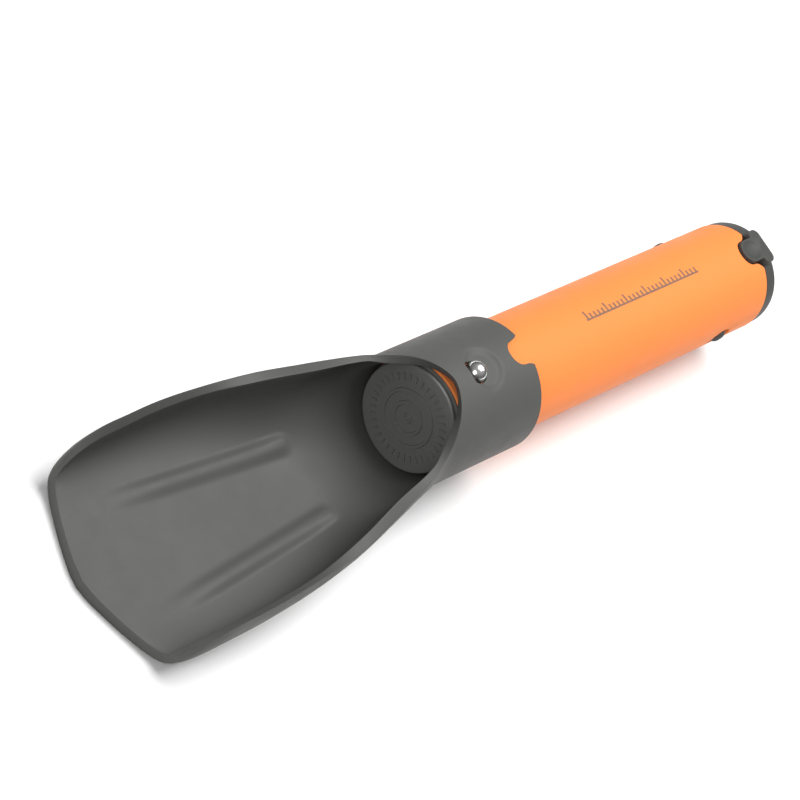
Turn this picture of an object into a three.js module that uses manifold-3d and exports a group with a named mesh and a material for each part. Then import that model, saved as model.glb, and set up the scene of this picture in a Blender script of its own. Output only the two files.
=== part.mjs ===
// Camp shovel: a nylon trowel blade with a sleeve, and a hollow handle that telescopes in it.
// Millimetres. The handle's axis is the X axis of the inner frame: +X runs to the end cap and
// +Z is up, out of the scoop. The last lines lift the model so that it stands on its sole.
import * as THREE from 'three';
import { mergeVertices } from 'three/addons/utils/BufferGeometryUtils.js';
import Module from 'manifold-3d';

const wasm = await Module();
wasm.setup();

// Handle and sleeve
const HANDLE_R = 16.5;
const TUBE_WALL = 1.8;
const TUBE_BORE_R = HANDLE_R - TUBE_WALL;
const TUBE_FRONT = 2.7;
const TUBE_REAR = 158;
const SLIDE_GAP = 0.35;
const BORE_R = HANDLE_R + SLIDE_GAP;
const SLEEVE_R = 19.4;
const SLEEVE_REAR = 35.6;
const MOUTH_TOP = 2.75;
const FIT_GAP = 0.3;

// Blade
const TIP_X = -117.2;
const TIP_SWEEP = 0.33;
const TIP_BOW = 0.0015;
const TIP_FLOOR = 18.6;
const SOLE = 22;
const CORNER_START = -92;
const CORNER_END = -107;
const CORNER_ROUND_Y = 21;
const CORNER_SIDE = 31;
const CORNER_BACK = -101;
const CORNER_FLOOR = 17.4;
const CORNER_SOLE = 19.2;
const SOLE_FLAT_HALF = 6;
const SOLE_SHAVE = 0.06;
const RIB_HEIGHT = 1.6;
const RIB_HALF_WIDTH = 3.2;
const RIB_REAR = -25;
const RIB_FADE = -60;
const RIB_FRONT = -100;

// Lock pin, in the sleeve's roof
const PIN_X = 13.6;
const PIN_R = 3.2;
const PIN_TOP = 21;
const PIN_HEAD_R = 4;
const PIN_HEAD_TOP = 14.1;
const PIN_HEAD_THICKNESS = 1.2;

// Lock spring, a bent strip inside the tube
const SPRING_WIDTH = 7;
const SPRING_THICKNESS = 0.6;
const SPRING_BEND_X = 40;
const SPRING_BEND_R = 3;

// Front plug
const PLUG_R = 15.85;
const PLUG_FLANGE = 2.4;
const PLUG_REAR = 9.6;
const SPIGOT_R = TUBE_BORE_R - FIT_GAP;

// End cap and its latches
const CAP_R = 16.15;
const CAP_FRONT = TUBE_REAR + FIT_GAP;
const CAP_REAR = 163.6;
const CAP_SPIGOT_FRONT = 148.6;
const SPIGOT_BORE_R = 12.2;
const TAB_HALF_WIDTH = 5.6;
const TAB_TOP = 17.4;
const PAD_FRONT = 150.2;
const PAD_R = 3.75;
const NUB_X = 139.4;
const NUB_REACH = 17.2;
const LATCH_ROOT = 147.9;
const LATCH_FRONT = 133.6;
const LATCH_HALF_HEIGHT = 4;
const LATCH_OUTER_R = 14.3;
const LATCH_INNER_R = 12.6;

const nylonGrey = new THREE.MeshStandardMaterial({ color: 0x6b6c69, roughness: 0.55, metalness: 0 });
const plugGrey = new THREE.MeshStandardMaterial({ color: 0x4c4d4a, roughness: 0.5, metalness: 0 });
const orange = new THREE.MeshStandardMaterial({ color: 0xfb9a4b, roughness: 0.4, metalness: 0 });
const steel = new THREE.MeshStandardMaterial({ color: 0xd0d0d0, roughness: 0.12, metalness: 1 });
const springSteel = new THREE.MeshStandardMaterial({ color: 0x9a9a98, roughness: 0.3, metalness: 1 });

const rad = THREE.MathUtils.degToRad;

// Solids and booleans

function solidOf(geometry) {
  const bare = geometry.clone();
  bare.deleteAttribute('normal');
  bare.deleteAttribute('uv');
  const merged = mergeVertices(bare, 1e-4);
  const vertProperties = Float32Array.from(merged.attributes.position.array);
  const triVerts = Uint32Array.from(merged.index.array);
  const solid = new wasm.Manifold(new wasm.Mesh({ numProp: 3, vertProperties, triVerts }));
  return solid.volume() > 0 ? solid : solidOf(turnedInsideOut(merged));
}

function turnedInsideOut(geometry) {
  const index = Array.from(geometry.index.array);
  const flipped = [];
  for (let i = 0; i < index.length; i += 3) {
    flipped.push(index[i], index[i + 2], index[i + 1]);
  }
  const result = geometry.clone();
  result.setIndex(flipped);
  return result;
}

function geometryOf(solid) {
  const mesh = solid.getMesh();
  const geometry = new THREE.BufferGeometry();
  geometry.setAttribute('position', new THREE.BufferAttribute(mesh.vertProperties, 3));
  geometry.setIndex(new THREE.BufferAttribute(mesh.triVerts, 1));
  geometry.computeVertexNormals();
  return geometry;
}

function cut(solid, ...tools) {
  return tools.reduce((body, tool) => body.subtract(tool), solid);
}

function join(...solids) {
  return solids.reduce((body, other) => body.add(other));
}

// A ring or disc turned about the handle's axis: its profile lists (x, radius) points.
function turned(profile, segments) {
  const points = profile.map(([x, radius]) => new THREE.Vector2(radius, x));
  points.push(points[0].clone());
  return solidOf(new THREE.LatheGeometry(points, segments).rotateZ(-Math.PI / 2));
}

// A prism standing along Z over a plan outline.
function upright(shape, low, high, curveSegments = 8) {
  const options = { depth: high - low, bevelEnabled: false, curveSegments };
  return solidOf(new THREE.ExtrudeGeometry(shape, options).translate(0, 0, low));
}

function post(x, radius, low, high, segments = 24) {
  const geometry = new THREE.CylinderGeometry(radius, radius, high - low, segments);
  return solidOf(geometry.rotateX(Math.PI / 2).translate(x, 0, (low + high) / 2));
}

function block(x0, x1, y0, y1, z0, z1) {
  const geometry = new THREE.BoxGeometry(x1 - x0, y1 - y0, z1 - z0);
  return solidOf(geometry.translate((x0 + x1) / 2, (y0 + y1) / 2, (z0 + z1) / 2));
}

function ellipsoid(centre, radii, across = 24, down = 14) {
  const geometry = new THREE.SphereGeometry(1, across, down);
  return solidOf(geometry.scale(...radii).translate(...centre));
}

// A U-shaped notch with its mouth on the rim at rimX. The mouth flares to rimHalfWidth.
function notchShape(bottomX, halfWidth, rimX, rimHalfWidth) {
  const shape = new THREE.Shape();
  const centreX = bottomX + halfWidth;
  const flareX = (centreX + rimX) / 2;
  shape.moveTo(rimX + 5, rimHalfWidth);
  shape.lineTo(rimX, rimHalfWidth);
  shape.quadraticCurveTo(flareX, halfWidth, centreX, halfWidth);
  shape.absarc(centreX, 0, halfWidth, Math.PI / 2, Math.PI * 1.5, false);
  shape.quadraticCurveTo(flareX, -halfWidth, rimX, -rimHalfWidth);
  shape.lineTo(rimX + 5, -rimHalfWidth);
  return shape;
}

// Blade: half sections across the X axis, lofted along it and mirrored

// Key sections of the blade. Each lip edge is a radius from the handle's axis and an angle
// in degrees from straight up: the sharp peak, the inner edge and the outer edge of the lip.
const sections = [
  { x: -4, peak: [19.4, 45], inner: [16.8, 45], outer: [19.4, 52], floor: 16.85, sole: 19.45 },
  { x: -12, peak: [21.1, 63.5], inner: [19.3, 61.5], outer: [21.1, 71], floor: 17.4, sole: 20.3 },
  { x: -29, peak: [24.6, 77.8], inner: [21.8, 73], outer: [24.8, 86], floor: 18.4, sole: 21.5 },
  { x: -45, peak: [28, 85.3], inner: [25.1, 84.5], outer: [28.3, 92], floor: 19, sole: SOLE },
  { x: -62, peak: [29.7, 86], inner: [27.5, 90], outer: [30.6, 92.5], floor: 19, sole: SOLE },
  { x: -78, peak: [30.7, 87.3], inner: [28.6, 93.6], outer: [31.6, 94], floor: 19, sole: SOLE },
  { x: -92, peak: [30.8, 90.4], inner: [28.8, 98.5], outer: [31.9, 98.5], floor: 18.9, sole: SOLE },
];
const MOUTH_SIDE_X = sections[0].x;
const MOUTH_SIDE_ANGLE = 45;
const MOUTH_POWER = 0.7;
const OUTER_LIP_LAG = 7;

function smooth(low, high, value) {
  return THREE.MathUtils.smoothstep(value, low, high);
}

// Catmull-Rom value through the key sections at x.
function keyed(read, x) {
  const clamped = THREE.MathUtils.clamp(x, CORNER_START, MOUTH_SIDE_X);
  let i = 0;
  while (i < sections.length - 2 && clamped < sections[i + 1].x) {
    i += 1;
  }
  const at = (k) => sections[THREE.MathUtils.clamp(k, 0, sections.length - 1)];
  const slope = (k) => (read(at(k + 1)) - read(at(k - 1))) / (at(k + 1).x - at(k - 1).x);
  const span = at(i + 1).x - at(i).x;
  const t = (clamped - at(i).x) / span;
  const startSlope = i === 0 ? 0 : slope(i) * span;
  const endSlope = slope(i + 1) * span;
  const t2 = t * t;
  const t3 = t2 * t;
  return (2 * t3 - 3 * t2 + 1) * read(at(i)) + (t3 - 2 * t2 + t) * startSlope
    + (3 * t2 - 2 * t3) * read(at(i + 1)) + (t3 - t2) * endSlope;
}

// How far the lip still stands at the tip's corner: 1 before it, 0 where it meets the floor.
function cornerRise(x) {
  const u = THREE.MathUtils.clamp((CORNER_START - x) / (CORNER_START - CORNER_END), 0, 1);
  return Math.sqrt(1 - u * u);
}

// The lip's edges at x, as (y, z) points: peak, inner and outer.
function lipAt(x) {
  const mouthRatio = (MOUTH_TOP - x) / (MOUTH_TOP - MOUTH_SIDE_X);
  const mouthAngle = x >= MOUTH_TOP ? 0 : MOUTH_SIDE_ANGLE * Math.pow(mouthRatio, MOUTH_POWER);
  const edge = (name, lag) => {
    const inMouth = x > MOUTH_SIDE_X;
    const angle = rad(inMouth ? mouthAngle + lag : keyed((s) => s[name][1], x));
    const radius = keyed((s) => s[name][0], x);
    return [radius * Math.sin(angle), radius * Math.cos(angle)];
  };
  const fall = 1 - cornerRise(x);
  const peak = edge('peak', 0);
  const inner = edge('inner', 0);
  const outer = edge('outer', OUTER_LIP_LAG);
  return {
    peak: [peak[0] - 3.2 * fall * fall, mix(peak[1], -CORNER_FLOOR + 0.2, fall)],
    inner: [inner[0] - 2 * fall, mix(inner[1], -CORNER_FLOOR, fall)],
    outer: [outer[0] - 3.6 * Math.pow(fall, 1.4), mix(outer[1], -CORNER_SOLE, fall)],
  };
}

function mix(a, b, t) {
  return a + (b - a) * t;
}

// A curve from straight below the axis at the given depth out to an end point. It is a round
// arc near the sleeve and a squarer trough towards the tip.
function bowl(depth, end, squareness, roundness, steps) {
  const [endY, endZ] = end;
  const endRadius = Math.hypot(endY, endZ);
  const endAngle = Math.atan2(endY, -endZ);
  const sweep = Math.abs(endY) < 1e-6 && endZ > 0 ? Math.PI : endAngle;
  return steps.map((t) => {
    const quarter = t * Math.PI / 2;
    const radius = 1 / Math.hypot(Math.sin(quarter) / endRadius, Math.cos(quarter) / depth);
    const round = [radius * Math.sin(sweep * t), -radius * Math.cos(sweep * t)];
    const troughY = endY * Math.pow(Math.sin(quarter), 2 / squareness);
    const troughZ = endZ - (endZ + depth) * Math.pow(Math.cos(quarter), 2 / squareness);
    return [mix(troughY, round[0], roundness), mix(troughZ, round[1], roundness)];
  });
}

// Where the section's points lie along its path: evenly in the round sleeve and on the
// outside, and closer together near the ribs inside the scoop.
const innerSteps = [0, 0.08, 0.16, 0.23, 0.29, 0.34, 0.39, 0.44, 0.5, 0.58, 0.68, 0.79, 0.9, 1];
const evenSteps = innerSteps.map((step, i) => i / (innerSteps.length - 1));

function ribLift(x, y) {
  const line = mix(12.6, 15, (RIB_REAR - x) / (RIB_REAR - RIB_FRONT));
  const offset = Math.abs(y - line) / RIB_HALF_WIDTH;
  const along = smooth(RIB_REAR - 5, RIB_REAR, x);
  const fade = smooth(RIB_FRONT, RIB_FADE, x);
  return offset > 1 ? 0 : RIB_HEIGHT * (1 - along) * fade * (1 + Math.cos(Math.PI * offset)) / 2;
}

// The half section's path: along the inner face to the lip, over it, and back outside.
function halfSection(x) {
  const lip = lipAt(x);
  const roundness = smooth(-42, -8, x);
  const squareness = mix(3.2, 2.2, smooth(-105, -50, x));
  const floor = mix(TIP_FLOOR, keyed((s) => s.floor, x), smooth(TIP_X, CORNER_START, x));
  const sole = Math.min(keyed((s) => s.sole, x), SOLE) + SOLE_SHAVE;
  const floorDepth = x > MOUTH_SIDE_X ? mix(BORE_R, floor, smooth(2, MOUTH_SIDE_X, x)) : floor;
  const steps = innerSteps.map((step, i) => mix(step, evenSteps[i], roundness));
  const inner = bowl(floorDepth, lip.inner, squareness, roundness, steps);
  const flatness = 1 - smooth(-45, -32, x);
  const outer = bowl(sole, lip.outer, squareness, roundness, evenSteps).map(([y, z]) => {
    return [y, Math.abs(y) < SOLE_FLAT_HALF ? mix(z, -sole, flatness) : z];
  });
  const ribbed = inner.map(([y, z]) => [y, z + ribLift(x, y)]);
  return [...ribbed, lip.peak, ...outer.reverse()];
}

function bladeLoft(stations) {
  const lipStep = innerSteps.length - 1;
  const triangles = [];
  const point = (station, k, side) => {
    const [y, z] = station.path[k];
    return new THREE.Vector3(station.x, side * y, z);
  };
  const face = (side, a, b, c) => {
    const corners = side > 0 ? [a, b, c] : [a, c, b];
    corners.forEach((corner) => triangles.push(corner.x, corner.y, corner.z));
  };
  const rings = stations.map((x) => ({ x, path: halfSection(x), closed: x >= MOUTH_TOP }));
  for (const side of [1, -1]) {
    for (let s = 0; s < rings.length - 1; s += 1) {
      const [a, b] = [rings[s], rings[s + 1]];
      for (let k = 0; k < a.path.length - 1; k += 1) {
        if (a.closed && b.closed && k === lipStep) {
          continue;
        }
        face(side, point(a, k, side), point(a, k + 1, side), point(b, k + 1, side));
        face(side, point(a, k, side), point(b, k + 1, side), point(b, k, side));
      }
    }
    for (const [ring, turn] of [[rings[0], side], [rings.at(-1), -side]]) {
      const last = ring.path.length - 1;
      for (let k = 0; k < lipStep; k += 1) {
        const inner = [point(ring, k, side), point(ring, k + 1, side)];
        const outer = [point(ring, last - k, side), point(ring, last - k - 1, side)];
        face(turn, inner[0], outer[0], outer[1]);
        face(turn, inner[0], outer[1], inner[1]);
      }
      const tip = [lipStep, lipStep + 2, lipStep + 1].map((k) => point(ring, k, side));
      face(turn, ...tip);
    }
  }
  const geometry = new THREE.BufferGeometry();
  geometry.setAttribute('position', new THREE.Float32BufferAttribute(triangles, 3));
  return solidOf(geometry);
}

function bladeStations() {
  const mouth = [0, 0.02, 0.08, 0.2, 0.36, 0.6, 1].map((t) => mix(MOUTH_TOP, MOUTH_SIDE_X, t));
  const corner = [0.2, 0.38, 0.54, 0.67, 0.78, 0.87, 0.93, 0.97, 1].map(
    (t) => mix(CORNER_START, CORNER_END, t),
  );
  const run = [];
  for (let x = MOUTH_SIDE_X - 4; x > -38; x -= 4) {
    run.push(x);
  }
  for (let x = -38; x >= CORNER_START; x -= 6) {
    run.push(x);
  }
  return [SLEEVE_REAR, 22, 9, ...mouth, ...run, ...corner, TIP_X - 3];
}

// The plan outline that trims the tip: a blunt point with bowed sides and round corners.
function tipOutline() {
  const edgeX = (y) => TIP_X + TIP_SWEEP * Math.abs(y) + TIP_BOW * y * y;
  const shape = new THREE.Shape();
  const behind = SLEEVE_REAR + 5;
  const wide = 40;
  const roundX = edgeX(CORNER_ROUND_Y);
  const bendY = CORNER_SIDE - 3;
  shape.moveTo(behind, -wide);
  shape.lineTo(behind, wide);
  shape.lineTo(CORNER_BACK, wide);
  shape.lineTo(CORNER_BACK, CORNER_SIDE);
  shape.quadraticCurveTo(edgeX(bendY), bendY, roundX, CORNER_ROUND_Y);
  for (const y of [12, 4]) {
    shape.lineTo(edgeX(y), y);
  }
  shape.quadraticCurveTo(TIP_X, 0, edgeX(-4), -4);
  shape.lineTo(edgeX(-12), -12);
  shape.lineTo(roundX, -CORNER_ROUND_Y);
  shape.quadraticCurveTo(edgeX(bendY), -bendY, CORNER_BACK, -CORNER_SIDE);
  shape.lineTo(CORNER_BACK, -wide);
  return shape;
}

function trowelBlade() {
  const body = bladeLoft(bladeStations()).intersect(upright(tipOutline(), -30, 30));
  const rearNotch = upright(notchShape(28.4, 3.9, SLEEVE_REAR, 4.8), 8, 26);
  const pinHole = post(PIN_X, PIN_R + 0.35, 8, 26);
  const dish = ellipsoid([PIN_X + 0.8, 0, SLEEVE_R + 2], [6.6, 9.5, 3.3]);
  const grooveReach = NUB_REACH + 0.5;
  const grooveFront = 10.5;
  const groove = block(grooveFront, SLEEVE_REAR + 5, -grooveReach, grooveReach, -4.5, 4.5);
  const belowSole = block(TIP_X - 5, SLEEVE_REAR + 5, -40, 40, -SOLE - 5, -SOLE);
  return cut(body, belowSole, rearNotch, pinHole, dish, groove);
}

// Handle

function handleTube() {
  const shell = turned([
    [TUBE_FRONT, TUBE_BORE_R], [TUBE_FRONT, HANDLE_R - 0.4], [TUBE_FRONT + 0.4, HANDLE_R],
    [TUBE_REAR - 0.4, HANDLE_R], [TUBE_REAR, HANDLE_R - 0.4], [TUBE_REAR, TUBE_BORE_R],
  ], 64);
  const notch = upright(notchShape(149.75, 4.1, TUBE_REAR, 7), 8, 20);
  const pinHole = post(PIN_X, PIN_R + 0.2, 8, 20);
  const slot = new THREE.Shape();
  slot.absellipse(0, 0, 4.9, 3.6, 0, Math.PI * 2);
  const options = { depth: 2 * HANDLE_R + 4, bevelEnabled: false, curveSegments: 12 };
  const slotTool = new THREE.ExtrudeGeometry(slot, options);
  slotTool.translate(0, 0, -HANDLE_R - 2).rotateX(Math.PI / 2).translate(NUB_X - 0.2, 0, 0);
  return cut(shell, notch, pinHole, solidOf(slotTool));
}

function frontPlug() {
  return turned([
    [0, 0], [0, PLUG_R - 0.5], [0.5, PLUG_R], [PLUG_FLANGE, PLUG_R],
    [PLUG_FLANGE, SPIGOT_R], [PLUG_REAR, SPIGOT_R],
    [PLUG_REAR, SPIGOT_BORE_R], [PLUG_FLANGE, SPIGOT_BORE_R], [PLUG_FLANGE, 0],
  ], 56);
}

function lockPin() {
  const domeCentre = PIN_TOP - PIN_R;
  const headLow = PIN_HEAD_TOP - PIN_HEAD_THICKNESS;
  const profile = [new THREE.Vector2(0, headLow), new THREE.Vector2(PIN_HEAD_R, headLow)];
  profile.push(new THREE.Vector2(PIN_HEAD_R, PIN_HEAD_TOP), new THREE.Vector2(PIN_R, PIN_HEAD_TOP));
  for (let i = 0; i <= 6; i += 1) {
    const angle = i / 6 * Math.PI / 2;
    const radius = i === 6 ? 0 : PIN_R * Math.cos(angle);
    profile.push(new THREE.Vector2(radius, domeCentre + PIN_R * Math.sin(angle)));
  }
  const pin = new THREE.LatheGeometry(profile, 24).rotateX(Math.PI / 2).translate(PIN_X, 0, 0);
  return solidOf(pin);
}

// The spring strip: a pad under the pin, an arm to the bend, and an arm back along the floor.
function lockSpring() {
  const top = PIN_HEAD_TOP - PIN_HEAD_THICKNESS - FIT_GAP;
  const low = -(TUBE_BORE_R - 1.6);
  const route = new THREE.CurvePath();
  const at = (x, z) => new THREE.Vector3(x, 0, z);
  const topMid = top - SPRING_THICKNESS / 2;
  const lowMid = low + SPRING_THICKNESS / 2;
  const points = [at(PIN_X - 4, topMid), at(PIN_X + 4, topMid), at(SPRING_BEND_X - 3, 4.5),
    at(SPRING_BEND_X, SPRING_BEND_R - 1), at(SPRING_BEND_X + 1, 0),
    at(SPRING_BEND_X, -SPRING_BEND_R), at(SPRING_BEND_X - 3, -6), at(PIN_X + 4, lowMid),
    at(PIN_X - 2, lowMid)];
  route.add(new THREE.CatmullRomCurve3(points, false, 'centripetal'));
  const strip = new THREE.Shape();
  const halfT = SPRING_THICKNESS / 2;
  const halfW = SPRING_WIDTH / 2;
  strip.moveTo(-halfW, -halfT);
  strip.lineTo(halfW, -halfT);
  strip.lineTo(halfW, halfT);
  strip.lineTo(-halfW, halfT);
  return solidOf(new THREE.ExtrudeGeometry(strip, { extrudePath: route.curves[0], steps: 36 }));
}

// End cap

function capTab() {
  const neck = 3.75;
  const shape = new THREE.Shape();
  const barFront = 157.6;
  const padCentre = PAD_FRONT + PAD_R;
  const round = 1.6;
  shape.absarc(padCentre, 0, PAD_R, Math.PI / 2, Math.PI * 1.5, false);
  shape.lineTo(barFront, -neck);
  shape.lineTo(barFront, -TAB_HALF_WIDTH + round);
  shape.absarc(barFront + round, -TAB_HALF_WIDTH + round, round, Math.PI, Math.PI * 1.5, false);
  shape.lineTo(CAP_REAR - 1.2 - round, -TAB_HALF_WIDTH);
  shape.absarc(CAP_REAR - 1.2 - round, -TAB_HALF_WIDTH + round, round, -Math.PI / 2, 0, false);
  shape.lineTo(CAP_REAR - 1.2, TAB_HALF_WIDTH - round);
  shape.absarc(CAP_REAR - 1.2 - round, TAB_HALF_WIDTH - round, round, 0, Math.PI / 2, false);
  shape.lineTo(barFront + round, TAB_HALF_WIDTH);
  shape.absarc(barFront + round, TAB_HALF_WIDTH - round, round, Math.PI / 2, Math.PI, false);
  shape.lineTo(barFront, neck);
  const tab = upright(shape, SPIGOT_BORE_R + 1, TAB_TOP, 5);
  const bore = block(CAP_SPIGOT_FRONT, CAP_FRONT, -TUBE_BORE_R, TUBE_BORE_R, 0, TAB_TOP);
  const barClear = bore.intersect(turned([
    [CAP_SPIGOT_FRONT, SPIGOT_R], [CAP_SPIGOT_FRONT, HANDLE_R + FIT_GAP],
    [CAP_FRONT, HANDLE_R + FIT_GAP], [CAP_FRONT, SPIGOT_R],
  ], 64));
  const padColumn = upright(notchShape(PAD_FRONT, PAD_R, TUBE_REAR - 1, PAD_R), 0, TAB_TOP + 1);
  const dish = ellipsoid([padCentre + 1, 0, TAB_TOP + 2.2], [3.3, 3, 3]);
  return cut(tab, barClear.subtract(padColumn), dish);
}

function endCap() {
  const body = turned([
    [CAP_SPIGOT_FRONT, SPIGOT_BORE_R], [CAP_SPIGOT_FRONT, SPIGOT_R],
    [CAP_FRONT, SPIGOT_R], [CAP_FRONT, CAP_R], [CAP_REAR - 1.3, CAP_R],
    [CAP_REAR - 0.4, CAP_R - 0.4], [CAP_REAR, CAP_R - 1.3], [CAP_REAR, 0],
    [CAP_REAR - 2.2, 0], [CAP_REAR - 2.2, SPIGOT_BORE_R],
  ], 64);
  return join(body, capTab());
}

// A latch arm on the +Y side: a strip along the tube's wall with a rounded nub.
function capLatch(side) {
  const ring = turned([
    [LATCH_FRONT, LATCH_INNER_R], [LATCH_FRONT, LATCH_OUTER_R],
    [LATCH_ROOT, LATCH_OUTER_R], [LATCH_ROOT, LATCH_INNER_R],
  ], 64);
  const window = block(LATCH_FRONT - 1, LATCH_ROOT + 1, 5, 20, -LATCH_HALF_HEIGHT, LATCH_HALF_HEIGHT);
  const nub = ellipsoid([NUB_X, LATCH_INNER_R + 0.6, 0], [3.7, NUB_REACH - LATCH_INNER_R - 0.6, 2.7]);
  const shaved = nub.intersect(block(NUB_X - 5, NUB_X + 5, LATCH_INNER_R + 0.7, 20, -5, 5));
  const arm = join(ring.intersect(window), shaved);
  return side > 0 ? arm : arm.rotate([180, 0, 0]);
}

const shovel = new THREE.Group();
const model = new THREE.Group();
shovel.add(model);

function add(name, solid, material) {
  const mesh = new THREE.Mesh(geometryOf(solid), material);
  mesh.name = name;
  model.add(mesh);
}

add('trowel_blade', trowelBlade(), nylonGrey);
add('handle_tube', handleTube(), orange);
add('front_plug', frontPlug(), plugGrey);
add('lock_pin', lockPin(), steel);
add('lock_spring', lockSpring(), springSteel);
add('end_cap', endCap(), nylonGrey);
add('cap_latch_left', capLatch(1), nylonGrey);
add('cap_latch_right', capLatch(-1), nylonGrey);

const extent = new THREE.Box3().setFromObject(model);
model.position.set(-(extent.min.x + extent.max.x) / 2, 0, -extent.min.z);

export default shovel;
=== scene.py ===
# %% [markdown]
# # A camp shovel in moulded plastic
# The shovel is a grey nylon scoop with a sleeve, an orange tube handle that slides in the sleeve, a
# sprung steel pin that locks the two, and a latched cap that closes the hollow handle.
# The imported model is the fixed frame: every new piece is made around it, at its real size.

# %% Load the frame
import math

import bmesh
import bpy
from mathutils import Matrix, Vector


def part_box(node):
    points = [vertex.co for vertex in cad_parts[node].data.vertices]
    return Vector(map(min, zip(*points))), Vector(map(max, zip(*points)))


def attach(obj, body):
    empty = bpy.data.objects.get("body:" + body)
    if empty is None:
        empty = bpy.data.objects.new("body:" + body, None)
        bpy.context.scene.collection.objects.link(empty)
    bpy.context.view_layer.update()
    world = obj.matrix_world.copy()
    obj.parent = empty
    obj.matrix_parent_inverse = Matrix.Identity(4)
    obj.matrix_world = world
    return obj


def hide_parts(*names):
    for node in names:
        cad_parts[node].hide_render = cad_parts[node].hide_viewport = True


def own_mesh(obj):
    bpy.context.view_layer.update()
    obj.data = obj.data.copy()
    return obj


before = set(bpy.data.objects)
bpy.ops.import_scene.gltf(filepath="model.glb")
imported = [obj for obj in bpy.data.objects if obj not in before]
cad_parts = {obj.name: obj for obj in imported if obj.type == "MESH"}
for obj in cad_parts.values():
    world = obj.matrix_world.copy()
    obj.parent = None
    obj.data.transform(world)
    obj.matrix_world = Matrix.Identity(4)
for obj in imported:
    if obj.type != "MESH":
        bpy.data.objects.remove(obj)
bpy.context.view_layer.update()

print("CAD nodes:", sorted(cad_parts))

# %% [markdown]
# The handle is round, so it is easiest to work on its axis, in millimetres. The tube's box gives
# the axis height, and the front plug's face gives the zero of the length. A finished mesh is
# scaled to metres and put on that axis once, so its object stays at the origin, unturned.

# %% The working frame
MM = 0.001
tube_low, tube_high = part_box("handle_tube")
plug_low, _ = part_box("front_plug")
AXIS_Z = (tube_low.z + tube_high.z) / 2
FACE_X = plug_low.x
TO_FRAME = Matrix.Translation((FACE_X, 0, AXIS_Z)) @ Matrix.Scale(MM, 4)
HANDLE_R = (tube_high.z - tube_low.z) / 2 / MM
TUBE_FRONT = (tube_low.x - FACE_X) / MM
TUBE_REAR = (tube_high.x - FACE_X) / MM
print(f"axis at z = {AXIS_Z * 1000:.1f} mm, handle {2 * HANDLE_R:.1f} mm across")
print(f"tube from x = {TUBE_FRONT:.1f} to {TUBE_REAR:.1f} mm behind the plug's face")

# %% [markdown]
# Small helpers keep the pieces short. A profile that is spun round the X axis makes every round
# part, a bevel on its sharp edges gives the soft corners of a moulding, and a boolean cuts holes.
# Each helper uses one of Blender's own mesh operators.

# %% Helpers for round parts
X_AXIS = (1, 0, 0)
MERGE_MM = 0.002


def face_out(bm):
    """Turns every face outwards. A closed shell whose volume is negative is inside out."""
    bmesh.ops.recalc_face_normals(bm, faces=bm.faces)
    if bm.calc_volume(signed=True) < 0:
        bmesh.ops.reverse_faces(bm, faces=bm.faces)


def clean(bm, distance=MERGE_MM):
    """Merges doubles and turns every face outwards."""
    bmesh.ops.remove_doubles(bm, verts=bm.verts, dist=distance)
    face_out(bm)


def ring_chain(bm, points, closed):
    """A chain of vertices and edges through (x, radius) points, ready to be spun."""
    verts = [bm.verts.new((x, 0, radius)) for x, radius in points]
    pairs = list(zip(verts, verts[1:]))
    if closed:
        pairs.append((verts[-1], verts[0]))
    return verts + [bm.edges.new(pair) for pair in pairs]


def revolve(points, steps=96, closed=True):
    """A body turned round the X axis."""
    bm = bmesh.new()
    chain = ring_chain(bm, points, closed)
    bmesh.ops.spin(bm, geom=chain, cent=(0, 0, 0), axis=X_AXIS, angle=math.tau, steps=steps,
                   use_merge=True)
    clean(bm)
    return bm


def soften(bm, offset, least_angle=50, segments=3, where=None):
    """Bevels the edges that bend by more than least_angle degrees."""
    limit = math.radians(least_angle)
    sharp = [e for e in bm.edges if len(e.link_faces) == 2 and e.calc_face_angle(0) > limit]
    if where:
        sharp = [e for e in sharp if where(e)]
    bmesh.ops.bevel(bm, geom=sharp, offset=offset, offset_type="OFFSET", segments=segments,
                    profile=0.5, affect="EDGES", material=-1, clamp_overlap=True)


# %% [markdown]
# A hole is cut with the exact boolean solver. The cutter is a throwaway object, and the result
# is read back from the evaluated mesh, so no modifier is left on the piece.

# %% Helpers for cutting and finishing
CUT_MERGE_MM = 0.0005
SHARP_ANGLE = 35


def object_from(bm, name):
    """An object with the mesh of bm, which is freed."""
    mesh = bpy.data.meshes.new(name)
    bm.to_mesh(mesh)
    bm.free()
    piece = bpy.data.objects.new(name, mesh)
    bpy.context.scene.collection.objects.link(piece)
    return piece


def combine(bm, *tools, operation="DIFFERENCE"):
    """bm with each tool cut from it or joined to it."""
    body = object_from(bm, "body")
    cutters = [object_from(tool, "tool") for tool in tools]
    for cutter in cutters:
        step = body.modifiers.new("cut", "BOOLEAN")
        step.operation = operation
        step.solver = "EXACT"
        step.object = cutter
    graph = bpy.context.evaluated_depsgraph_get()
    result = bmesh.new()
    result.from_object(body, graph)
    for thing in [body, *cutters]:
        bpy.data.objects.remove(thing)
    clean(result, CUT_MERGE_MM)
    return result


def finish_piece(bm, name, body, material, replaces):
    """Puts a finished mesh in the frame, gives it its material and tells the frame about it."""
    bmesh.ops.transform(bm, matrix=TO_FRAME, verts=bm.verts)
    faces = len(bm.faces)
    piece = object_from(bm, name)
    piece.data.materials.append(material)
    piece.data.shade_smooth()
    piece.data.set_sharp_from_angle(angle=math.radians(SHARP_ANGLE))
    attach(piece, body)
    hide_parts(*replaces)
    size = [round(d * 1000, 1) for d in piece.dimensions]
    print(f"{name}: {faces} faces, {size} mm")
    return piece


def smooth(low, high, value):
    """0 at low, 1 at high, with an even start and end."""
    t = min(max((value - low) / (high - low), 0), 1)
    return t * t * (3 - 2 * t)


def mix(a, b, t):
    """The value a share t of the way from a to b."""
    return a + (b - a) * t


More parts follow.
